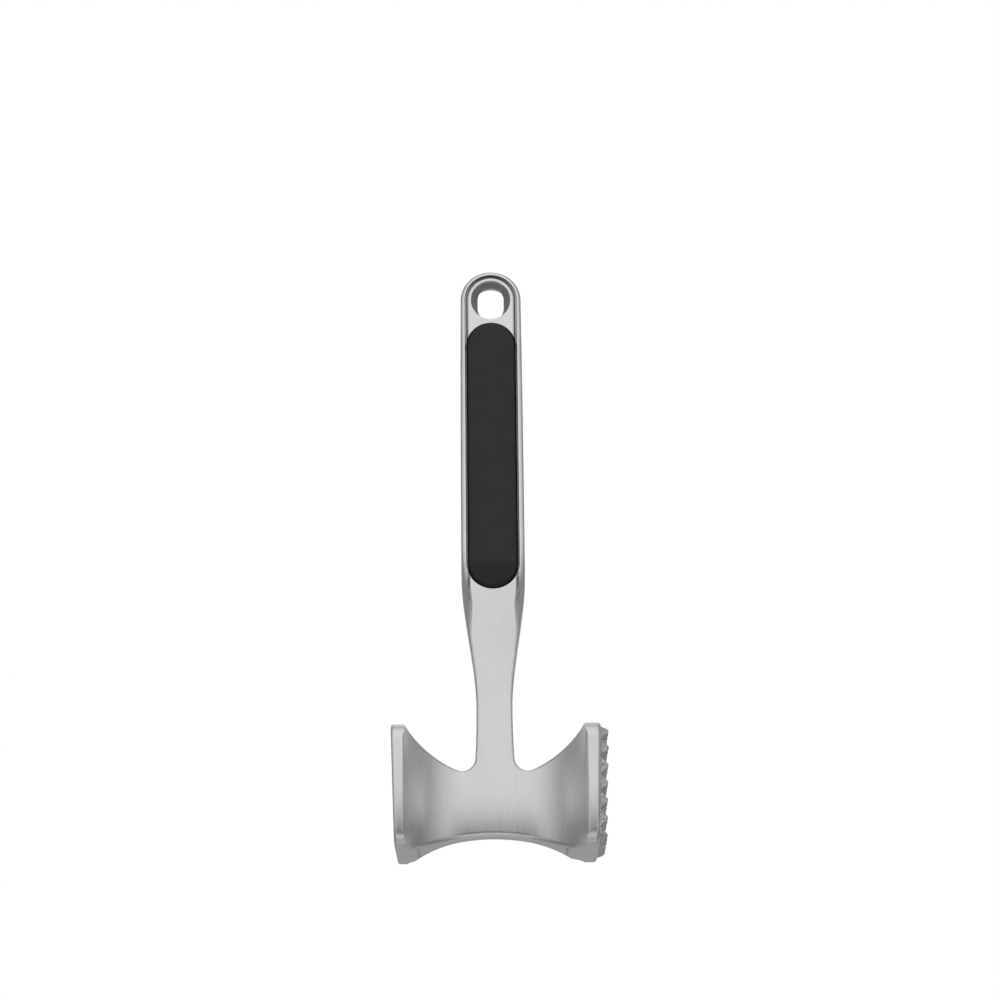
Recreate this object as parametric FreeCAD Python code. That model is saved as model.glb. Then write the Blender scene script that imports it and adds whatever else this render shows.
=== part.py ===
import FreeCAD, Part
import math
import os

from FreeCAD import Vector

# Meat mallet, standing on its head with the handle up.
# Frame: millimetres, +Z up the handle, X from the pounding face (-X) to the
# toothed face (+X), front of the mallet towards -Y.  The origin is at the
# middle of the footprint of the two flange feet, on the ground plane.

# ---- driving dimensions -------------------------------------------------
length = 274.5                 # feet to the end of the handle
pounding_face_x = -45.3        # face positions, measured at face_level
toothed_face_x = 46.4
face_level = 35.0
face_lean = 1.7                # degrees; the head is a little wider at its top
flange_half = 27.6             # the two faces are square, 55.2 x 55.2
flange_corner = 7.0
flange_inner_left = -39.9      # where the hollow sides end and the rims start
flange_inner_right = 39.8
rim_rounds = (0.8, 1.8)        # at the inner edges of the left and right flange
face_rounds = (1.2, 1.5)       # around the pounding face and the toothed face

web_half = 5.2                 # waist of the head and root of the neck
hollow_radius = 26.0           # front and rear hollows of the head
top_radius = 59.3              # upper hollows, one on each side of the neck
top_centre = (-5.6, 92.6)
arch_radius = 85.0             # lower hollow
arch_apex = (-1.3, 7.7)
crest_round = 3.0
foot_round = 4.0
valley_round = 6.0
top_edge_round = 1.2
bottom_edge_round = 2.4

neck_half = 8.1                # narrowest half width, at neck_level
neck_level = 63.5
neck_flare_radius = 318.0
neck_edge_round = top_edge_round

handle_half = 14.5
handle_thick = 7.05            # half thickness
handle_edge_round = 1.5
handle_widest = 150.5          # level of the widest place
end_narrowing = 0.45           # by the centre of the round end
end_thinning = 0.2
flare_span = (66.5, 128.5)     # levels between which the neck widens
thick_span = (neck_level, 140.5)
shoulder_level = 116.5         # where the bevel beside the flat is widest
shoulder_spread = 13.0
shoulder_bevel = 2.7
shoulder_flattening = 0.155
handle_sections = 28

eye_level = length - handle_half + end_narrowing    # hanging hole, handle end
pocket_half = 12.2             # inlay pocket, front and rear
pocket_foot = 120.7
web_thick = 6.0                # casting wall between the two pockets
eye_floor = 4.6                # depth plane the eye plates sit on
floor_end = 235.5              # centre of the round end of the deep pockets
eye_plate_top = 6.6
eye_plate_half = 11.35
eye_edge_round = 1.5
peg_radius = 0.9               # two pegs under each eye plate
peg_length = 1.8
peg_side = 8.6
peg_level = 250.3
peg_gap = 0.05
groove_top = (133.5, 11.2, 0.5, 4.5)       # level, x, half width, floor plane
groove_bottom = (113.0, 10.9, 0.5, 6.6)    # the same where the groove runs out

pad_gap = 0.8
pad_head = 248.9               # upper end of the rubber pads
pad_crown = 7.9                # highest plane of the pads
pad_edge = 6.8                 # plane of their long edges
pad_round = 0.9
pad_slope_start = 133.6
pad_slope_end = 6.4

carrier_half = 11.2
boss_levels = (142.5, 184.5, 226.5)
boss_radius = 3.0
boss_clearance = 0.1
screw_radius = 1.4
screw_gap = 0.02               # in the pilot holes of the bosses
screw_clearance = 0.2          # in the rear carrier
pilot_depth = 3.6
screw_slot_long = 3.0
screw_slot_width = 0.6
screw_slot_depth = 0.8
screw_head_radius = 2.7
screw_head_depth = 1.3
screw_length = 7.0

hole_radius = 9.15             # hanging hole at the eye plates
hole_offset = 0.4              # half the straight part of that opening
throat_radius = 6.1            # narrowest part of the hanging hole
throat_offset = 2.3
throat_land = 0.75
liner_outer = 9.65
liner_gap = 0.05

plate_inset = 1.7              # rim left around the toothed plate
plate_gap = 0.15
plate_seat = 2.4               # depth of its recess in the flange
plate_corner = 5.3
tooth_pitch = 7.8
teeth_per_side = 7
tooth_height = 3.4
tooth_tip = 1.4
tooth_border = 1.2             # how far the outer flanks lean in
pin_radius = 1.6
pin_length = 6.0
pin_in_flange = 2.6
pin_gap = 0.02
pin_chamfer = 0.25
pin_spread = 2 * tooth_pitch

flange_mid = flange_half       # height of the middle of the square faces
neck_room_foot = 20.0          # the neck root may leave the head's envelope above this
beyond_head = 60.0             # clear of the head, for cutters and envelopes
beyond_handle = 20.0           # clear of the handle


# ---- small helpers ------------------------------------------------------
def line(start, end):
    return Part.makeLine(start, end)


def arc(start, middle, end):
    return Part.Arc(start, middle, end).toShape()


def prism(edges, direction):
    return Part.Face(Part.Wire(edges)).extrude(direction)


def box(low, high):
    size = Vector(*high) - Vector(*low)
    return Part.makeBox(size.x, size.y, size.z, Vector(*low))


def edges_near(shape, test):
    """Edges whose every sampled point passes the test."""
    found = []
    for edge in shape.Edges:
        first, last = edge.ParameterRange
        points = [edge.valueAt(first + (last - first) * k / 4.0) for k in range(5)]
        if all(test(point) for point in points):
            found.append(edge)
    return found


def mirrored(shape):
    """The same shape on the rear side of the mallet."""
    return shape.mirror(Vector(0, 0, 0), Vector(0, 1, 0))


def obround(radius, foot, head, near, far):
    """Vertical slot shape between two arc centres, from y = near to y = far."""
    edges = [
        line(Vector(-radius, near, foot), Vector(-radius, near, head)),
        arc(
            Vector(-radius, near, head),
            Vector(0, near, head + radius),
            Vector(radius, near, head),
        ),
        line(Vector(radius, near, head), Vector(radius, near, foot)),
        arc(
            Vector(radius, near, foot),
            Vector(0, near, foot - radius),
            Vector(-radius, near, foot),
        ),
    ]
    return prism(edges, Vector(0, far - near, 0))


def across_handle(radius, near, far, level):
    """Cylinder through the middle of the handle, from y = near to y = far."""
    return Part.makeCylinder(radius, far - near, Vector(0, near, level), Vector(0, 1, 0))


def eye_slot(radius, offset, near, far):
    return obround(radius, eye_level - offset, eye_level + offset, near, far)


def outline_at(shape, axis, place):
    """Outer wire of the flat end of a prism that lies at a place on an axis."""
    ends = [face for face in shape.Faces if abs(face.CenterOfMass[axis] - place) < 0.01]
    return ends[0].OuterWire


def rounded_square(half, corner, x_start, x_end):
    """Square with rounded corners, standing in YZ and centred on the faces."""
    shape = box(
        (x_start, -half, flange_mid - half), (x_end, half, flange_mid + half)
    )
    corners = edges_near(
        shape,
        lambda p: abs(abs(p.y) - half) < 0.01 and abs(abs(p.z - flange_mid) - half) < 0.01,
    )
    return shape.makeFillet(corner, corners)


def face_x(side_x, level):
    """X of a leaning end face at a height."""
    shift = (level - face_level) * math.tan(math.radians(face_lean))
    return side_x + math.copysign(1.0, side_x) * shift


# ---- the casting --------------------------------------------------------
def top_arc_point(x):
    """Point of the upper hollow at a distance x from the middle plane."""
    reach = x - top_centre[0]
    return top_centre[1] - math.sqrt(top_radius ** 2 - reach ** 2)


def arch_point(x):
    """Level of the lower hollow at a place across the head."""
    apex_x, apex = arch_apex
    return apex - arch_radius + math.sqrt(arch_radius ** 2 - (x - apex_x) ** 2)


def neck_side(level):
    drop = neck_level - level
    return neck_half + neck_flare_radius - math.sqrt(neck_flare_radius ** 2 - drop ** 2)


def neck_root():
    """Corner where the side of the neck meets the upper hollow."""
    level = top_arc_point(neck_half)
    for _ in range(20):
        level = top_arc_point(neck_side(level))
    return neck_side(level), level


def head_outline(side_x):
    """Front outline of one half of the head, as edges from neck to arch."""
    side = math.copysign(1.0, side_x)
    top = 2 * flange_half
    root_x, root = neck_root()
    apex_x, apex = arch_apex
    span = math.sqrt(arch_radius ** 2 - (arch_radius - apex) ** 2)
    foot_x = span + side * apex_x
    reach = math.sqrt(top_radius ** 2 - (top_centre[1] - top) ** 2)
    crest_x = top_centre[0] + reach
    mid_neck = (neck_level + root) / 2

    def point(x, z):
        return Vector(side * x, -flange_half, z)

    middle_x = (root_x + crest_x) / 2
    outer = abs(face_x(side_x, top))
    outer_foot = abs(face_x(side_x, 0.0))
    return [
        line(point(0, neck_level), point(neck_half, neck_level)),
        arc(
            point(neck_half, neck_level),
            point(neck_side(mid_neck), mid_neck),
            point(root_x, root),
        ),
        arc(
            point(root_x, root),
            point(middle_x, top_arc_point(middle_x)),
            point(crest_x, top),
        ),
        line(point(crest_x, top), point(outer, top)),
        line(point(outer, top), point(outer_foot, 0)),
        line(point(outer_foot, 0), point(foot_x, 0)),
        arc(
            point(foot_x, 0),
            point(foot_x / 2, arch_point(side * foot_x / 2)),
            point(0, arch_point(0)),
        ),
    ], crest_x, foot_x


def head_blank():
    """Front outline of the head and neck root, swept through the depth."""
    right, crest_x, right_foot_x = head_outline(toothed_face_x)
    left, crest_x, left_foot_x = head_outline(pounding_face_x)
    outline = Part.Wire(Part.__sortEdges__(right + left))
    blank = Part.Face(outline).extrude(Vector(0, 2 * flange_half, 0)).removeSplitter()

    def along_y(x, z):
        return edges_near(blank, lambda p: abs(abs(p.x) - x) < 0.1 and abs(p.z - z) < 0.1)

    root_x, root = neck_root()
    blank = blank.makeFillet(valley_round, along_y(root_x, root))
    blank = blank.makeFillet(crest_round, along_y(crest_x, 2 * flange_half))
    blank = blank.makeFillet(foot_round, along_y(left_foot_x, 0))
    return blank.makeFillet(foot_round, along_y(right_foot_x, 0))


def hollow_arc(inner_x, rim, side):
    """Plan arc from the flat of the waist to the rim of a flange, and its start."""
    rise = flange_half - rim - web_half
    reach = math.sqrt(hollow_radius ** 2 - (hollow_radius - rise) ** 2)
    half_angle = math.asin(reach / hollow_radius) / 2
    flat_x = inner_x - math.copysign(reach, inner_x)
    middle_x = flat_x + math.copysign(hollow_radius * math.sin(half_angle), inner_x)
    middle_y = web_half + hollow_radius * (1 - math.cos(half_angle))
    curve = arc(
        Vector(flat_x, side * web_half, 0),
        Vector(middle_x, side * middle_y, 0),
        Vector(inner_x, side * (flange_half - rim), 0),
    )
    return curve, flat_x


def waist_plan():
    """Plan view of the hollow waist between the two flanges."""
    edges = []
    for inner_x, rim in zip((flange_inner_left, flange_inner_right), rim_rounds):
        end_half = flange_half - rim
        edges.append(line(Vector(inner_x, -end_half, 0), Vector(inner_x, end_half, 0)))
    for side in (1, -1):
        left_arc, left_x = hollow_arc(flange_inner_left, rim_rounds[0], side)
        right_arc, right_x = hollow_arc(flange_inner_right, rim_rounds[1], side)
        flat = line(Vector(left_x, side * web_half, 0), Vector(right_x, side * web_half, 0))
        edges += [left_arc, right_arc, flat]
    outline = Part.Wire(Part.__sortEdges__(edges))
    return Part.Face(outline).extrude(Vector(0, 0, neck_level))


def waist():
    """Middle of the head and root of the neck, with rounded long edges."""
    shape = head_blank().common(waist_plan())
    for front in (True, False):
        def on_side(point):
            return point.y < -0.1 if front else point.y > 0.1

        upper = [
            edge
            for edge in edges_near(shape, lambda p: on_side(p) and p.z > flange_mid)
            if edge.BoundBox.ZMin < neck_level - 0.01
        ]
        shape = shape.makeFillet(top_edge_round, upper)
        lower = edges_near(shape, lambda p: on_side(p) and p.z < flange_mid)
        shape = shape.makeFillet(bottom_edge_round, lower)
    return shape


def flange(side_x, inner_x, rim, edge_round):
    """One square end of the head, with its rim and face edges rounded."""
    outer_x = math.copysign(beyond_head, side_x)
    rim_x = inner_x + math.copysign(rim, inner_x)
    slant = rim * math.sqrt(0.5)
    edges = [
        line(Vector(inner_x, flange_half - rim, 0), Vector(inner_x, rim - flange_half, 0)),
        line(Vector(outer_x, flange_half, 0), Vector(outer_x, -flange_half, 0)),
    ]
    for side in (1, -1):
        middle = Vector(
            rim_x - math.copysign(slant, inner_x), side * (flange_half - rim + slant), 0
        )
        corner_start = Vector(inner_x, side * (flange_half - rim), 0)
        corner_end = Vector(rim_x, side * flange_half, 0)
        edges.append(arc(corner_start, middle, corner_end))
        edges.append(line(corner_end, Vector(outer_x, side * flange_half, 0)))
    plan = Part.Face(Part.Wire(Part.__sortEdges__(edges)))
    blank = plan.extrude(Vector(0, 0, 2 * flange_half))
    square = rounded_square(flange_half, flange_corner, -beyond_head, beyond_head)
    blank = blank.common(square).common(head_blank())

    def on_face(p):
        return abs(p.x - face_x(side_x, p.z)) < 0.01

    return blank.makeFillet(edge_round, edges_near(blank, on_face))


def head():
    """Waist and both flanges, before any machining."""
    envelope = rounded_square(flange_half, flange_corner, -beyond_head, beyond_head)
    neck_room = box(
        (-beyond_handle, -web_half - 1, neck_room_foot),
        (beyond_handle, web_half + 1, neck_level),
    )
    core = waist().common(envelope.fuse(neck_room))
    left = flange(pounding_face_x, flange_inner_left, rim_rounds[0], face_rounds[0])
    right = flange(toothed_face_x, flange_inner_right, rim_rounds[1], face_rounds[1])
    return core.fuse([left, right])


def ease(value, start, end):
    """0 before start, 1 after end, with a smooth change between."""
    share = min(max((value - start) / (end - start), 0.0), 1.0)
    return share * share * (3.0 - 2.0 * share)


def handle_section(level):
    """Closed outline of the neck or handle at a height."""
    beyond = max(0.0, (level - handle_widest) / (eye_level - handle_widest))
    half_width = neck_half + (handle_half - neck_half) * ease(level, *flare_span)
    half_width -= end_narrowing * beyond ** 2
    half_thick = web_half + (handle_thick - web_half) * ease(level, *thick_span)
    half_thick -= end_thinning * beyond ** 2
    shoulder_rise = math.exp(-(((level - shoulder_level) / shoulder_spread) ** 2))
    bevel = neck_edge_round + shoulder_bevel * shoulder_rise
    bevel += (handle_edge_round - neck_edge_round) * ease(level, *flare_span)
    roundness = math.sqrt(0.5) - shoulder_flattening * shoulder_rise
    half_flat = half_width - bevel
    side_half = half_thick - bevel

    def corner(side_x, side_y):
        flat_end = Vector(side_x * half_flat, side_y * half_thick, level)
        middle = Vector(
            side_x * (half_flat + roundness * bevel),
            side_y * (half_thick - (1 - roundness) * bevel),
            level,
        )
        side_end = Vector(side_x * half_width, side_y * side_half, level)
        return flat_end, middle, side_end

    front_right = corner(1, -1)
    rear_right = corner(1, 1)
    rear_left = corner(-1, 1)
    front_left = corner(-1, -1)
    return Part.Wire(
        [
            line(front_left[0], front_right[0]),
            arc(*front_right),
            line(front_right[2], rear_right[2]),
            arc(*reversed(rear_right)),
            line(rear_right[0], rear_left[0]),
            arc(*rear_left),
            line(rear_left[2], front_left[2]),
            arc(*reversed(front_left)),
        ]
    )


def handle():
    """Neck, flare and handle frame up to its round end, without the pockets."""
    step = (eye_level - neck_level) / handle_sections
    levels = [neck_level + step * k for k in range(handle_sections + 1)]
    body = Part.makeLoft([handle_section(level) for level in levels], True)
    end_face = Part.Face(handle_section(eye_level))
    right_side = box(
        (0, -beyond_handle, eye_level - 1), (beyond_handle, beyond_handle, eye_level + 1)
    )
    right_half = end_face.common(right_side)
    cap = right_half.Faces[0].revolve(Vector(0, 0, eye_level), Vector(0, 1, 0), -180)
    return body.fuse(cap)


def shoulder_grooves():
    """Grooves beside the pads that run out on the shoulders below them."""
    cutters = []
    for side in (1, -1):
        sections = []
        for level, middle, half, floor in (groove_top, groove_bottom):
            left = side * middle - half
            right = side * middle + half
            near = -handle_thick - 1.0
            corners = [
                Vector(left, near, level),
                Vector(right, near, level),
                Vector(right, -floor, level),
                Vector(left, -floor, level),
            ]
            sections.append(Part.makePolygon(corners + corners[:1]))
        cutters.append(Part.makeLoft(sections, True, True))
    return cutters + [mirrored(cutter) for cutter in cutters]


def lean(shape):
    """Turn a shape built square to X so that it matches the toothed face."""
    turned = shape.copy()
    turned.rotate(Vector(toothed_face_x, 0, face_level), Vector(0, 1, 0), face_lean)
    return turned


def pin_cylinders(radius):
    """Four cylinders across the seat of the toothed plate, square to its face."""
    start_x = toothed_face_x - plate_seat - pin_in_flange
    return [
        lean(Part.makeCylinder(radius, pin_length, Vector(start_x, y, z), Vector(1, 0, 0)))
        for y in (-pin_spread, pin_spread)
        for z in (flange_mid - pin_spread, flange_mid + pin_spread)
    ]


def plate_pins():
    pins = []
    for pin in pin_cylinders(pin_radius):
        ends = [edge for edge in pin.Edges if edge.Closed]
        pins.append(pin.makeChamfer(pin_chamfer, ends))
    return Part.makeCompound(pins)


def casting():
    """Head, neck and handle frame in one piece, with its pockets and holes."""
    body = head().fuse(handle())
    recess = rounded_square(
        flange_half - plate_inset,
        plate_corner + plate_gap,
        toothed_face_x - plate_seat,
        beyond_head,
    )
    arc_foot = pocket_foot + pocket_half
    pocket = obround(pocket_half, arc_foot, floor_end, -beyond_handle, -web_thick / 2)
    eye_pocket = obround(pocket_half, floor_end, eye_level, -beyond_handle, -eye_floor)
    eye_hole = eye_slot(liner_outer, hole_offset, -beyond_handle, beyond_handle)
    cutters = [lean(recess), eye_hole]
    for cutter in [pocket, eye_pocket] + pegs(peg_radius + peg_gap, peg_length + peg_gap):
        cutters += [cutter, mirrored(cutter)]
    boss_hole = boss_radius + boss_clearance
    for level in boss_levels:
        cutters.append(across_handle(boss_hole, -beyond_handle, beyond_handle, level))
    cutters += pin_cylinders(pin_radius + pin_gap)
    return body.cut(cutters + shoulder_grooves())


# ---- toothed plate ------------------------------------------------------
def valley_prism(offset):
    """V-shaped cutter that runs along Y between two rows of teeth."""
    half = (tooth_pitch - tooth_tip) / 2
    reach = 2 * flange_half
    root_x = toothed_face_x
    tip_x = toothed_face_x + tooth_height
    corners = [
        Vector(root_x, -reach, offset),
        Vector(tip_x, -reach, offset - half),
        Vector(tip_x + 1, -reach, offset - half),
        Vector(tip_x + 1, -reach, offset + half),
        Vector(tip_x, -reach, offset + half),
    ]
    profile = Part.makePolygon(corners + corners[:1])
    return Part.Face(profile).extrude(Vector(0, 2 * reach, 0))


def tenderizer_plate():
    """Square plate with rows of blunt pyramids, fitted in the flange."""
    half = flange_half - plate_inset - plate_gap
    root_x = toothed_face_x
    tip_x = toothed_face_x + tooth_height
    base = rounded_square(half, plate_corner, root_x - plate_seat, root_x)
    tips = rounded_square(half - tooth_border, plate_corner - tooth_border, tip_x, tip_x + 1)
    block = Part.makeLoft([outline_at(base, 0, root_x), outline_at(tips, 0, tip_x)], True, True)
    valleys = []
    for k in range(teeth_per_side - 1):
        valley = valley_prism((k - (teeth_per_side - 2) / 2) * tooth_pitch)
        crossing = valley.copy()
        crossing.rotate(Vector(0, 0, 0), Vector(1, 0, 0), 90)
        valleys += [valley, crossing]
    for valley in valleys:
        valley.translate(Vector(0, 0, flange_mid))
    plate = base.fuse(block.cut(valleys)).removeSplitter()
    return lean(plate).cut(pin_cylinders(pin_radius + pin_gap))


# ---- hanging eye --------------------------------------------------------
def pegs(radius, depth):
    return [
        Part.makeCylinder(radius, depth, Vector(x, -eye_floor, peg_level), Vector(0, 1, 0))
        for x in (-peg_side, peg_side)
    ]


def eye_plate():
    """Front cap around the hanging hole, with two pegs into the casting."""
    plate = obround(eye_plate_half, floor_end, eye_level, -eye_plate_top, -eye_floor)
    hole = eye_slot(hole_radius, hole_offset, -beyond_handle, beyond_handle)
    pad_side = pocket_half - pad_gap
    cut_radius = pad_side + plate_gap
    around_pad = obround(cut_radius, pocket_foot, pad_head - pad_side, -beyond_handle, 0)
    plate = plate.cut([hole, around_pad]).Solids[0]

    def on_outer_edge(p):
        reach = math.hypot(p.x, max(p.z - eye_level, 0.0))
        return abs(p.y + eye_plate_top) < 0.01 and reach > eye_plate_half - 0.01

    plate = plate.makeFillet(eye_edge_round, edges_near(plate, on_outer_edge))
    return plate.fuse(pegs(peg_radius, peg_length))


def eye_liner():
    """Sleeve through the handle end, waisted to a narrow oval throat."""
    body = eye_slot(liner_outer - liner_gap, hole_offset, -eye_floor, eye_floor)
    throat = eye_slot(throat_radius, throat_offset, -throat_land, throat_land)
    cutters = [throat]
    for mouth in (-eye_floor, eye_floor):
        wide = eye_slot(hole_radius, hole_offset, mouth, 2 * mouth)
        narrow_y = math.copysign(throat_land, mouth)
        ends = [outline_at(wide, 1, mouth), outline_at(throat, 1, narrow_y)]
        cutters.append(Part.makeLoft(ends, True, True))
    return body.cut(cutters)


# ---- grip ---------------------------------------------------------------
def grip_pad():
    """Front rubber pad: a long crowned oval with a sloping lower end."""
    half = pocket_half - pad_gap
    foot = pocket_foot + pad_gap + half
    blank = obround(half, foot, pad_head - half, -2 * pad_crown, -eye_floor)
    sag = pad_crown - pad_edge
    crown_radius = (half ** 2 + sag ** 2) / (2 * sag)
    crown_axis = Vector(0, crown_radius - pad_crown, 0)
    crown = Part.makeCylinder(crown_radius, length, crown_axis, Vector(0, 0, 1))
    corners = [
        Vector(-handle_half, -pad_crown, pad_slope_start),
        Vector(-handle_half, -pad_slope_end, pocket_foot),
        Vector(-handle_half, -2 * pad_crown, pocket_foot),
        Vector(-handle_half, -2 * pad_crown, pad_slope_start),
    ]
    across = Vector(2 * handle_half, 0, 0)
    slope = Part.Face(Part.makePolygon(corners + corners[:1])).extrude(across)
    pad = blank.common(crown).cut(slope).Solids[0]
    rim = edges_near(pad, lambda p: abs(p.y) > eye_floor + 1 and on_pad_side(p, half))
    return pad.makeFillet(pad_round, rim)


def on_pad_side(point, half):
    """True for a point on the upright side wall of a pad."""
    foot = pocket_foot + pad_gap + half
    beyond = max(foot - point.z, point.z - (pad_head - half), 0.0)
    return math.hypot(point.x, beyond) > half - 0.01


def carrier_plate():
    """Stiff backing of the front pad, before any holes."""
    foot = pocket_foot + pocket_half
    return obround(carrier_half, foot, floor_end, -eye_floor, -web_thick / 2)


def front_carrier():
    """Backing of the front pad, with three bosses through the web."""
    boss_end = web_thick / 2 - boss_clearance
    carrier = carrier_plate()
    for level in boss_levels:
        carrier = carrier.fuse(across_handle(boss_radius, -web_thick / 2, boss_end, level))
    pilots = [
        across_handle(screw_radius, -pilot_depth, beyond_handle, level) for level in boss_levels
    ]
    return carrier.cut(pilots)


def screw_blank(level, shank_radius, clearance):
    """Countersunk screw driven from the rear; clearance turns it into its hole."""
    neck_y = eye_floor - screw_head_depth
    tip_y = eye_floor - screw_length
    wide = screw_head_radius + clearance
    cone = Part.makeCone(
        shank_radius, wide, screw_head_depth, Vector(0, neck_y, level), Vector(0, 1, 0)
    )
    return cone.fuse(across_handle(shank_radius, tip_y, neck_y, level))


def rear_carrier():
    clearance = screw_clearance
    holes = [screw_blank(level, screw_radius + clearance, clearance) for level in boss_levels]
    return mirrored(carrier_plate()).cut(holes)


def carrier_screws():
    """Three screws with a small cross recess in the head."""
    screws = []
    for level in boss_levels:
        screw = screw_blank(level, screw_radius - screw_gap, 0.0)
        half_long = screw_slot_long / 2
        half_wide = screw_slot_width / 2
        floor = eye_floor - screw_slot_depth
        for x, z in ((half_long, half_wide), (half_wide, half_long)):
            screw = screw.cut(box((-x, floor, level - z), (x, eye_floor + 1, level + z)))
        screws.append(screw.Solids[0])
    return Part.makeCompound(screws)


def main():
    os.makedirs("parts", exist_ok=True)
    pad = grip_pad()
    eye = eye_plate()
    single_pieces = {
        "mallet_casting": casting(),
        "tenderizer_plate": tenderizer_plate(),
        "grip_front": pad,
        "grip_rear": mirrored(pad),
        "grip_carrier_front": front_carrier(),
        "grip_carrier_rear": rear_carrier(),
        "hanging_eye_front": eye,
        "hanging_eye_rear": mirrored(eye),
        "hanging_eye_liner": eye_liner(),
    }
    for name, shape in single_pieces.items():
        shape.Solids[0].exportStep("parts/" + name + ".step")
    plate_pins().exportStep("parts/tenderizer_plate_pins.step")
    carrier_screws().exportStep("parts/grip_carrier_screws.step")


main()
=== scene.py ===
import math

import bmesh
import bpy
from mathutils import Matrix, Vector


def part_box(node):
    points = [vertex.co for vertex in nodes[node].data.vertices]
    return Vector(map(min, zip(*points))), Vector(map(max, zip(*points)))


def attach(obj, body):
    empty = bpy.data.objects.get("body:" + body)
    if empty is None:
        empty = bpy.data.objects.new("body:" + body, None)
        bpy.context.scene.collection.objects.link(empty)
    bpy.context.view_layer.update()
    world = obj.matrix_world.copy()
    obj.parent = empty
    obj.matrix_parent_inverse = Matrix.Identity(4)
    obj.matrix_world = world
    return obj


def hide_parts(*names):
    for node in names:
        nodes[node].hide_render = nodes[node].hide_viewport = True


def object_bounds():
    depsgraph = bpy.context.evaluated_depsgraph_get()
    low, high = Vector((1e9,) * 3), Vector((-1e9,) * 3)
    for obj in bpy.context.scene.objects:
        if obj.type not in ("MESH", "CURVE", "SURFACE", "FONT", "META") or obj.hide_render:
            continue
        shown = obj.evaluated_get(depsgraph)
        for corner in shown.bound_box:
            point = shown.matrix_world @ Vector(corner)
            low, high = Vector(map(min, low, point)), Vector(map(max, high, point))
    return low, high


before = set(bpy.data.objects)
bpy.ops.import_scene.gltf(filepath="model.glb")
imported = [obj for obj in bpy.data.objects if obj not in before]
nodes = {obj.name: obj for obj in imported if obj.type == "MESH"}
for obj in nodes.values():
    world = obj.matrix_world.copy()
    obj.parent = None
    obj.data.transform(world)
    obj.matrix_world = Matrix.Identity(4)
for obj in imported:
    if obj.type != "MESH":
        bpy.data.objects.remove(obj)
cad_low, cad_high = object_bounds()

MM = 0.001

# ---- rubber pads, in metres ----------------------------------------------
PAD_EDGE_ROUND = 1.3 * MM
PAD_CROWN_DROP = 1.1 * MM         # how much lower a pad is at its sides than along its middle
PAD_SLOPE_RISE = 11.2 * MM        # height above the foot at which the lower slope begins
PAD_SLOPE_DROP = 2.3 * MM         # how far the slope has fallen at the foot
PAD_BLEND = 0.8 * MM              # softness of the change from pad top to slope
PAD_LIP = 0.3 * MM                # least thickness, at the rim of the foot
PAD_ARC_STEPS = 48
PAD_SIDE_STEPS = 90
PAD_EDGE_RINGS = 8
PAD_FACE_RINGS = 14
SAME_POINT = 0.002 * MM

# ---- toothed plate -------------------------------------------------------
TOOTH_VOXEL = 0.25 * MM
ROUGHNESS_LUMPS = (1.0 * MM, 0.5 * MM)      # size and height
ROUGHNESS_GRAINS = (0.5 * MM, 0.28 * MM)

# ---- metal ---------------------------------------------------------------
# Noise scale, and how much it is stretched along the grain.
FINE_GRAIN = (2700, 0.025)
STREAKS = (1300, 0.045)
BROAD_GRAIN = (330, 0.06)
PATCHES = (70, 0.4)
PIT_SCALE = 900
PIT_EDGE = (0.74, 0.78)           # where the pits begin in their noise
BROAD_BUMP = 0.05 * MM
STREAK_BUMP = 0.03 * MM
FINE_BUMP = 0.008 * MM
PIT_BUMP = -0.03 * MM
ROLL_START = 33 * MM              # polishing has rolled the lower edges off below this level
ROLL_RATE = 116.0
CREVICE = 1.6 * MM                # width of the gaps that get painted shade
OPEN_AIR = (0.3, 0.78)            # occlusion range over which the painted shade goes from quite dark to quite clear
GAP_SHADE_TONE = 0.07                   # share of the tone left as painted shade inside a gap beside the rubber
EYE_GAP_SHADE_TONE = 0.36               # the same painted shade between casting and eye cap, two bright metals
EYE_GAP_LEVELS = (238.0 * MM, 246.0 * MM)
FOOT_LEVELS = (0.4 * MM, 2.0 * MM)          # the foot stands on the floor, which is no crevice and gets no painted shade
GROOVE_LINE = 11.0 * MM           # how far from the middle the shoulder grooves run
GROOVE_REACH = (0.3 * MM, 0.9 * MM)
GROOVE_END = (113.5 * MM, 121.0 * MM)       # levels where their painted shade fades out below
GROOVE_TOP = (126.0 * MM, 130.0 * MM)       # and above, inside the pad pocket
GROOVE_SHADE = 0.8
GROOVE_SHADE_TONE = 0.2

# ---- floor ---------------------------------------------------------------
FLOOR_REACH = 3.0
FLOOR_GAP = 0.05 * MM
FLOOR_LIFT = 0.36                 # brightens the floor for the camera alone

# ---- camera --------------------------------------------------------------
CAMERA_PLACE = Vector((0.00345, -1.27909, -0.21666))
CAMERA_PITCH = math.radians(16.6)
CAMERA_ROLL = math.radians(-0.59)
CAMERA_LENS = 104.4
SENSOR = 36.0

# ---- light ---------------------------------------------------------------
# Brightness of the studio against azimuth (0 in front, 1 behind) and height (0 below, 1 above).
AROUND = (
    (0.0, 0.88),
    (0.14, 0.70),
    (0.28, 0.52),
    (0.40, 0.31),
    (0.50, 0.24),
    (0.62, 0.25),
    (0.80, 0.46),
    (0.92, 0.64),
    (1.0, 0.72),
)
UPWARD = ((0.0, 0.7), (0.25, 0.7), (0.4, 0.8), (0.54, 1.0), (1.0, 1.0))
# Patches of studio: azimuth and elevation of the middle, inner and outer angle, and change.
LOBES = (
    (0, -26, 10, 36, -0.82),
    (0, -80, 12, 34, 0.25),
    (180, -18, 12, 32, -0.42),
)


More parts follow.
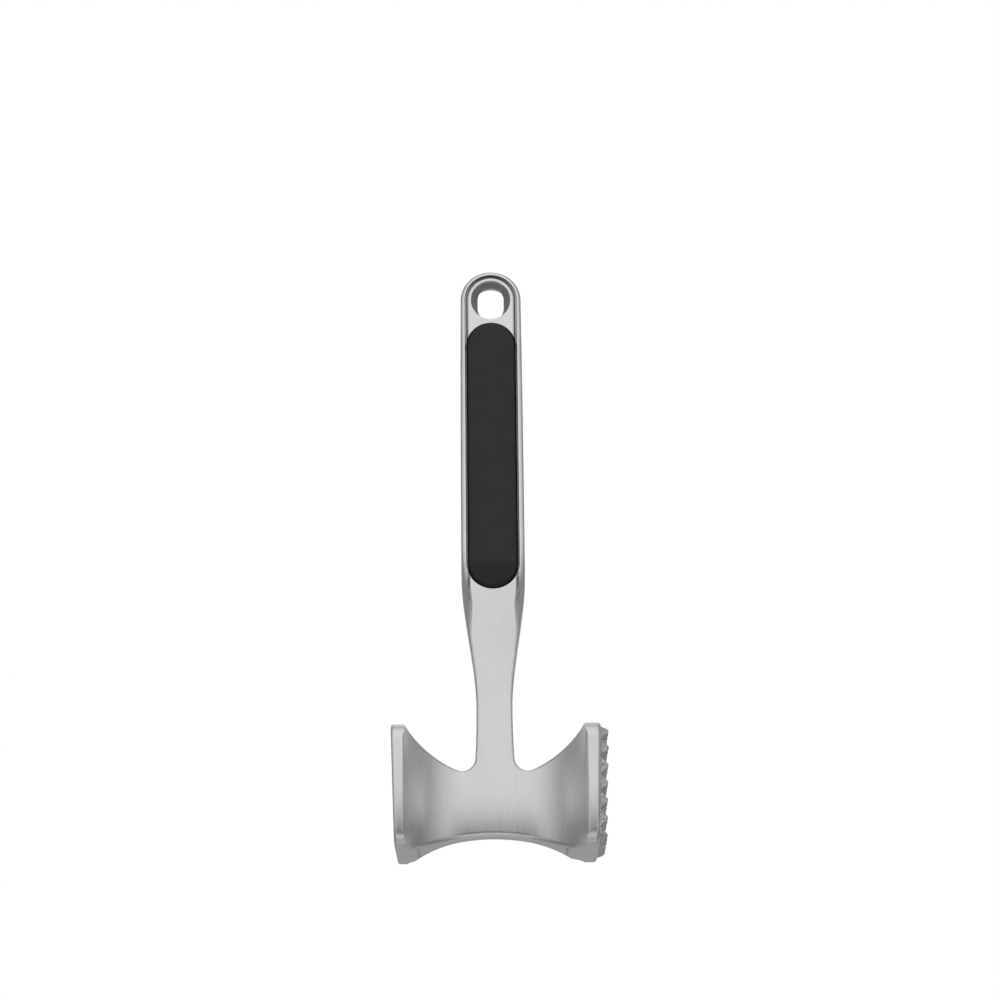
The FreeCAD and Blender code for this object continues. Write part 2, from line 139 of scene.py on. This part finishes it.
# ---- node helpers --------------------------------------------------------
class Graph:
    """A node tree with short calls for the nodes that the materials share."""

    def __init__(self, tree):
        self.tree = tree
        tree.nodes.clear()

    def add(self, kind, inputs=(), **settings):
        node = self.tree.nodes.new(kind)
        for name, value in settings.items():
            setattr(node, name, value)
        for key, value in dict(inputs).items():
            if isinstance(value, bpy.types.NodeSocket):
                self.tree.links.new(value, node.inputs[key])
            else:
                node.inputs[key].default_value = value
        return node

    def math(self, operation, a, b=0.0):
        return self.add("ShaderNodeMath", {0: a, 1: b}, operation=operation).outputs[0]

    def remap(self, value, low, high, to_low, to_high):
        node = self.add("ShaderNodeMapRange", {0: value, 1: low, 2: high, 3: to_low, 4: to_high})
        return node.outputs[0]

    def ramp(self, value, stops):
        node = self.add("ShaderNodeValToRGB", {0: value})
        elements = node.color_ramp.elements
        while len(elements) < len(stops):
            elements.new(0.5)
        for element, (place, level) in zip(elements, stops):
            element.position = place
            element.color = (level, level, level, 1)
        return node.outputs[0]

    def mix_colour(self, factor, a, b):
        return self.add("ShaderNodeMix", {0: factor, 6: a, 7: b}, data_type="RGBA").outputs[2]

    def place(self):
        return self.add("ShaderNodeTexCoord").outputs["Object"]

    def noise(self, scale, stretch=(1, 1, 1), detail=2.0, roughness=0.5, offset=0.0):
        mapping = self.add(
            "ShaderNodeMapping",
            {"Vector": self.place(), "Scale": stretch, "Location": (offset,) * 3},
        )
        node = self.add(
            "ShaderNodeTexNoise",
            {
                "Vector": mapping.outputs[0],
                "Scale": scale,
                "Detail": detail,
                "Roughness": roughness,
            },
        )
        return node.outputs[0]

    def grain(self, shape, **settings):
        scale, stretch = shape
        return self.noise(scale, (1, 1, stretch), **settings)

    def crevice(self, distance):
        """One in the open, falling to nought deep inside a narrow gap."""
        node = self.add("ShaderNodeAmbientOcclusion", {"Distance": distance}, samples=8)
        return node.outputs["AO"]

    def bump(self, height, distance, strength=1.0, normal=None):
        inputs = {"Height": height, "Distance": distance, "Strength": strength}
        if normal is not None:
            inputs["Normal"] = normal
        return self.add("ShaderNodeBump", inputs).outputs[0]

    def finish(self, **inputs):
        shader = self.add("ShaderNodeBsdfPrincipled", inputs)
        self.add("ShaderNodeOutputMaterial", {0: shader.outputs[0]})


def new_material(name):
    material = bpy.data.materials.new(name)
    material.use_nodes = True
    return material, Graph(material.node_tree)


def grey(value, tint=0.0):
    """A grey with a slight blue tint."""
    return (value, value * (1 + tint / 2), value * (1 + tint), 1)


# ---- materials -----------------------------------------------------------
def brushed_metal(name, tone, roughness, is_casting=False):
    """Satin metal with a grain that runs up and down, with painted shade inside narrow gaps.

    On the casting, its lower edges look rolled over and painted shade lies along its shoulder
    grooves.
    """
    material, g = new_material(name)
    fine = g.grain(FINE_GRAIN, detail=3, roughness=0.65)
    streaks = g.grain(STREAKS, detail=2, roughness=0.6, offset=3.0)
    broad = g.grain(BROAD_GRAIN, detail=2, offset=11.0)
    patches = g.grain(PATCHES, detail=2, offset=7.0)
    pits = g.remap(g.noise(PIT_SCALE, detail=1, offset=19.0), *PIT_EDGE, 0.0, 1.0)
    mixed = g.math("ADD", g.math("MULTIPLY", fine, 0.45), g.math("MULTIPLY", streaks, 0.55))
    colour = g.mix_colour(
        g.remap(mixed, 0.34, 0.66, 0.0, 1.0), grey(tone * 0.92, 0.012), grey(tone * 1.05, -0.008)
    )
    colour = g.mix_colour(g.math("MULTIPLY", pits, 0.3), colour, grey(tone * 0.5))
    across, _, height = g.add("ShaderNodeSeparateXYZ", {0: g.place()}).outputs
    # painted shade: the colour darkens inside narrow gaps found by ambient occlusion, less at
    # the eye cap and not at the foot
    near_floor = g.remap(height, *FOOT_LEVELS, 1.0, 0.0)
    open_air = g.math("MAXIMUM", g.crevice(CREVICE), near_floor)
    at_eye = g.remap(height, *EYE_GAP_LEVELS, 0.0, 1.0)
    shadow = g.mix_colour(at_eye, grey(tone * GAP_SHADE_TONE), grey(tone * EYE_GAP_SHADE_TONE))
    colour = g.mix_colour(g.remap(open_air, *OPEN_AIR, 0.0, 1.0), shadow, colour)
    if is_casting:
        # painted shade: a dark line along each shoulder groove, fading out below its end and
        # above, inside the pad pocket
        off_line = g.math("SUBTRACT", g.math("ABSOLUTE", across), GROOVE_LINE)
        beside = g.remap(g.math("ABSOLUTE", off_line), *GROOVE_REACH, GROOVE_SHADE, 0.0)
        above_end = g.remap(height, *GROOVE_END, 0.0, 1.0)
        below_top = g.remap(height, *GROOVE_TOP, 1.0, 0.0)
        groove_shade = g.math("MULTIPLY", beside, g.math("MULTIPLY", above_end, below_top))
        colour = g.mix_colour(groove_shade, colour, grey(tone * GROOVE_SHADE_TONE))
    rough = g.math(
        "ADD",
        g.remap(mixed, 0.3, 0.7, roughness - 0.05, roughness + 0.05),
        g.remap(patches, 0.3, 0.7, -0.03, 0.03),
    )
    normal = None
    if is_casting:
        below = g.math("MAXIMUM", g.math("SUBTRACT", ROLL_START, height), 0.0)
        fall = g.math("MULTIPLY", g.math("POWER", below, 3.0), -ROLL_RATE)
        normal = g.bump(fall, 1.0)
    normal = g.bump(broad, BROAD_BUMP, 1.0, normal)
    normal = g.bump(streaks, STREAK_BUMP, 1.0, normal)
    normal = g.bump(fine, FINE_BUMP, 1.0, normal)
    normal = g.bump(pits, PIT_BUMP, 1.0, normal)
    g.finish(**{"Base Color": colour, "Metallic": 1.0, "Roughness": rough, "Normal": normal})
    return material


def rough_cast_metal(name, tone):
    """Metal as it left the mould: grainy, dull and a little uneven."""
    material, g = new_material(name)
    grain = g.noise(2200, detail=3, roughness=0.6)
    blotches = g.noise(1000, detail=3, roughness=0.65, offset=5.0)
    colour = g.mix_colour(
        g.remap(blotches, 0.38, 0.62, 0.0, 1.0), grey(tone * 0.72, 0.05), grey(tone * 1.25, 0.03)
    )
    # painted shade: the colour darkens to a dull grey in narrow gaps and hollows, such as
    # between the teeth
    open_air = g.crevice(CREVICE)
    colour = g.mix_colour(g.remap(open_air, 0.2, 0.8, 0.0, 1.0), grey(tone * 0.65), colour)
    rough = g.remap(grain, 0.3, 0.7, 0.42, 0.62)
    normal = g.bump(grain, 0.1 * MM, 1.0)
    g.finish(**{"Base Color": colour, "Metallic": 0.9, "Roughness": rough, "Normal": normal})
    return material


def soft_rubber(name, tone):
    """Matte moulded rubber with a very fine texture and faint handling marks."""
    material, g = new_material(name)
    skin = g.noise(3200, detail=3, roughness=0.6)
    marks = g.noise(150, (1, 1, 0.7), detail=4, roughness=0.6, offset=4.0)
    colour = g.mix_colour(
        g.remap(marks, 0.35, 0.65, 0.0, 1.0), grey(tone * 0.75, 0.02), grey(tone * 1.25, 0.05)
    )
    rough = g.remap(marks, 0.3, 0.7, 0.34, 0.54)
    normal = g.bump(skin, 0.02 * MM, 0.6)
    g.finish(
        **{
            "Base Color": colour,
            "Roughness": rough,
            "Specular IOR Level": 0.55,
            "Normal": normal,
        }
    )
    return material


def moulded_plastic(name, tone, roughness):
    """Plain plastic with a fine moulded skin and slightly uneven colour."""
    material, g = new_material(name)
    skin = g.noise(1400, detail=2)
    clouds = g.noise(120, detail=2, offset=2.0)
    colour = g.mix_colour(
        g.remap(clouds, 0.35, 0.65, 0.0, 1.0), grey(tone * 0.93), grey(tone * 1.07, 0.02)
    )
    rough = g.remap(skin, 0.3, 0.7, roughness - 0.04, roughness + 0.05)
    normal = g.bump(skin, 0.02 * MM, 0.4)
    g.finish(**{"Base Color": colour, "Roughness": rough, "Normal": normal})
    return material


def use_material(obj, material):
    obj.data.materials.clear()
    obj.data.materials.append(material)


# ---- stage ---------------------------------------------------------------
def direction_to(azimuth, elevation):
    """Unit vector, with azimuth measured from straight in front, both in degrees."""
    turn, lift = math.radians(azimuth), math.radians(elevation)
    return (math.sin(turn) * math.cos(lift), -math.cos(turn) * math.cos(lift), math.sin(lift))


def studio_world():
    """Soft light that is strongest in front, with plain white behind everything."""
    world = bpy.data.worlds.new("studio")
    bpy.context.scene.world = world
    world.use_nodes = True
    g = Graph(world.node_tree)
    ray = g.add("ShaderNodeTexCoord").outputs["Generated"]
    x, y, z = g.add("ShaderNodeSeparateXYZ", {0: ray}).outputs
    flat = g.math("SQRT", g.math("ADD", g.math("MULTIPLY", x, x), g.math("MULTIPLY", y, y)))
    frontness = g.math("DIVIDE", g.math("MULTIPLY", y, -1.0), g.math("MAXIMUM", flat, 1e-4))
    azimuth = g.math("DIVIDE", g.math("ARCCOSINE", frontness), math.pi)
    height = g.math("ADD", g.math("DIVIDE", g.math("ARCSINE", z), math.pi), 0.5)

    def lobe(centre_azimuth, centre_elevation, inner, outer):
        """One inside a round patch of sky, falling to nought at its outer angle."""
        axis = direction_to(centre_azimuth, centre_elevation)
        dot = g.add("ShaderNodeVectorMath", {0: ray, 1: axis}, operation="DOT_PRODUCT")
        angle = g.math("ARCCOSINE", g.math("MINIMUM", dot.outputs["Value"], 1.0))
        node = g.add(
            "ShaderNodeMapRange",
            {0: angle, 1: math.radians(inner), 2: math.radians(outer), 3: 1.0, 4: 0.0},
            interpolation_type="SMOOTHSTEP",
        )
        return node.outputs[0]

    level = g.math("MULTIPLY", g.ramp(azimuth, AROUND), g.ramp(height, UPWARD))
    for *patch, change in LOBES:
        changed = g.math("ADD", g.math("MULTIPLY", lobe(*patch), change), 1.0)
        level = g.math("MULTIPLY", level, changed)
    light = g.add("ShaderNodeBackground", {1: level})
    light.inputs[0].default_value = (1.0, 0.997, 0.99, 1)
    plain = g.add("ShaderNodeBackground", {0: (1, 1, 1, 1), 1: 1.0})
    seen = g.add("ShaderNodeLightPath").outputs["Is Camera Ray"]
    both = g.add("ShaderNodeMixShader", {0: seen, 1: light.outputs[0], 2: plain.outputs[0]})
    g.add("ShaderNodeOutputWorld", {0: both.outputs[0]})


def floor():
    """Pale floor that shows from above only, so that it never hides the mallet."""
    mesh = bpy.data.meshes.new("floor")
    level = cad_low.z - FLOOR_GAP
    signs = ((-1, -1), (1, -1), (1, 1), (-1, 1))
    corners = [(FLOOR_REACH * x, FLOOR_REACH * y, level) for x, y in signs]
    mesh.from_pydata(corners, [], [(0, 1, 2, 3)])
    plane = bpy.data.objects.new("floor", mesh)
    bpy.context.scene.collection.objects.link(plane)
    material, g = new_material("pale_floor")
    marks = g.noise(14, detail=3)
    colour = g.mix_colour(g.remap(marks, 0.3, 0.7, 0.0, 1.0), grey(0.80), grey(0.83))
    diffuse = g.add("ShaderNodeBsdfDiffuse", {0: colour})
    glow = g.add("ShaderNodeEmission", {0: colour, 1: FLOOR_LIFT})
    pale = g.add("ShaderNodeAddShader", {0: diffuse.outputs[0], 1: glow.outputs[0]})
    clear = g.add("ShaderNodeBsdfTransparent")
    seen = g.add("ShaderNodeLightPath").outputs["Is Camera Ray"]
    behind = g.add("ShaderNodeNewGeometry").outputs["Backfacing"]
    shown = g.math("MULTIPLY", seen, g.math("SUBTRACT", 1.0, behind))
    both = g.add("ShaderNodeMixShader", {0: shown, 1: clear.outputs[0], 2: pale.outputs[0]})
    g.add("ShaderNodeOutputMaterial", {0: both.outputs[0]})
    use_material(plane, material)


def camera():
    """Camera below the head, looking up at the front."""
    data = bpy.data.cameras.new("camera")
    data.lens = CAMERA_LENS
    data.sensor_width = SENSOR
    data.clip_start = 0.01
    data.clip_end = 50
    cam = bpy.data.objects.new("camera", data)
    bpy.context.scene.collection.objects.link(cam)
    forward = Vector((0, math.cos(CAMERA_PITCH), math.sin(CAMERA_PITCH)))
    level_up = Vector((0, -math.sin(CAMERA_PITCH), math.cos(CAMERA_PITCH)))
    across = Vector((1, 0, 0))
    right = math.cos(CAMERA_ROLL) * across + math.sin(CAMERA_ROLL) * level_up
    up = -math.sin(CAMERA_ROLL) * across + math.cos(CAMERA_ROLL) * level_up
    turn = Matrix((right, up, -forward)).transposed()
    cam.matrix_world = Matrix.Translation(CAMERA_PLACE) @ turn.to_4x4()
    bpy.context.scene.camera = cam
    bpy.context.scene.view_settings.view_transform = "Standard"


# ---- built pieces --------------------------------------------------------
def pad_outline(inset, half, foot, head):
    """Points round the long oval outline of a pad, moved inwards by inset."""
    radius = half - inset
    points = []
    for centre, start in ((head - half, 0.0), (foot + half, math.pi)):
        other = foot + half if start == 0.0 else head - half
        for k in range(PAD_ARC_STEPS):
            angle = start + math.pi * k / PAD_ARC_STEPS
            points.append((radius * math.cos(angle), centre + radius * math.sin(angle)))
        side = radius * math.cos(start + math.pi)
        for k in range(PAD_SIDE_STEPS):
            points.append((side, centre + (other - centre) * k / PAD_SIDE_STEPS))
    return points


def pad_height(x, z, inset, half, foot):
    """How far a pad's face lies below its highest line."""
    crown = PAD_CROWN_DROP * (x / half) ** 2
    into = (foot + PAD_SLOPE_RISE - z) / PAD_BLEND
    soft = PAD_BLEND * (math.log1p(math.exp(into)) if into < 30 else into)
    slope = PAD_SLOPE_DROP * soft / PAD_SLOPE_RISE
    left = max(0.0, PAD_EDGE_ROUND - inset)
    edge = PAD_EDGE_ROUND - math.sqrt(PAD_EDGE_ROUND ** 2 - left ** 2)
    return crown + slope + edge


def rubber_pad(name, node, material):
    """Crowned rubber inlay with a rounded edge, in place of its CAD node."""
    low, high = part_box(node)
    side = -1.0 if low.y < 0 else 1.0
    top = max(abs(low.y), abs(high.y))
    back = min(abs(low.y), abs(high.y))
    half, foot, head = high.x, low.z, high.z
    quarter = math.pi / 2
    insets = []
    for k in range(PAD_EDGE_RINGS + 1):
        insets.append(PAD_EDGE_ROUND * (1 - math.cos(quarter * k / PAD_EDGE_RINGS)))
    for k in range(1, PAD_FACE_RINGS + 1):
        insets.append(PAD_EDGE_ROUND + (half - PAD_EDGE_ROUND) * k / PAD_FACE_RINGS)
    rings = [[(x, side * back, z) for x, z in pad_outline(half, half, foot, head)]]
    rings.append([(x, side * back, z) for x, z in pad_outline(0.0, half, foot, head)])
    for inset in insets:
        ring = []
        for x, z in pad_outline(inset, half, foot, head):
            depth = max(top - pad_height(x, z, inset, half, foot), back + PAD_LIP)
            ring.append((x, side * depth, z))
        rings.append(ring)
    shape = bmesh.new()
    loops = [[shape.verts.new(point) for point in ring] for ring in rings]
    count = len(loops[0])
    for lower, upper in zip(loops, loops[1:]):
        for k in range(count):
            n = (k + 1) % count
            shape.faces.new((lower[k], lower[n], upper[n], upper[k]))
    bmesh.ops.remove_doubles(shape, verts=shape.verts, dist=SAME_POINT)
    bmesh.ops.recalc_face_normals(shape, faces=shape.faces)
    for face in shape.faces:
        face.smooth = True
    mesh = bpy.data.meshes.new(name)
    shape.to_mesh(mesh)
    shape.free()
    pad = bpy.data.objects.new(name, mesh)
    bpy.context.scene.collection.objects.link(pad)
    use_material(pad, material)
    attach(pad, "root")
    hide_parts(node)


def roughen(obj):
    """Give a crisp casting the lumpy, grainy skin of rough-cast metal."""
    remesh = obj.modifiers.new("skin", "REMESH")
    remesh.mode = "VOXEL"
    remesh.voxel_size = TOOTH_VOXEL
    remesh.use_smooth_shade = True
    for label, (size, height) in (("lumps", ROUGHNESS_LUMPS), ("grains", ROUGHNESS_GRAINS)):
        texture = bpy.data.textures.new(label, "CLOUDS")
        texture.noise_scale = size
        texture.noise_depth = 1
        displace = obj.modifiers.new(label, "DISPLACE")
        displace.texture = texture
        displace.texture_coords = "LOCAL"
        displace.strength = height
        displace.mid_level = 0.5


# ---- the object ----------------------------------------------------------
casting_metal = brushed_metal("satin_casting", 0.86, 0.34, is_casting=True)
eye_metal = brushed_metal("satin_eye", 0.88, 0.32)
plate_metal = rough_cast_metal("rough_casting", 0.68)
steel = brushed_metal("plain_steel", 0.6, 0.3)
rubber = soft_rubber("grip_rubber", 0.009)
carrier_plastic = moulded_plastic("carrier_plastic", 0.04, 0.5)
liner_plastic = moulded_plastic("liner_plastic", 0.36, 0.42)

finishes = {
    "mallet_casting": casting_metal,
    "tenderizer_plate": plate_metal,
    "tenderizer_plate_pins": steel,
    "grip_front": rubber,
    "grip_rear": rubber,
    "grip_carrier_front": carrier_plastic,
    "grip_carrier_rear": carrier_plastic,
    "grip_carrier_screws": steel,
    "hanging_eye_front": eye_metal,
    "hanging_eye_rear": eye_metal,
    "hanging_eye_liner": liner_plastic,
}
for name, material in finishes.items():
    use_material(nodes[name], material)
rubber_pad("rubber_pad_front", "grip_front", rubber)
rubber_pad("rubber_pad_rear", "grip_rear", rubber)
roughen(nodes["tenderizer_plate"])

studio_world()
floor()
camera()
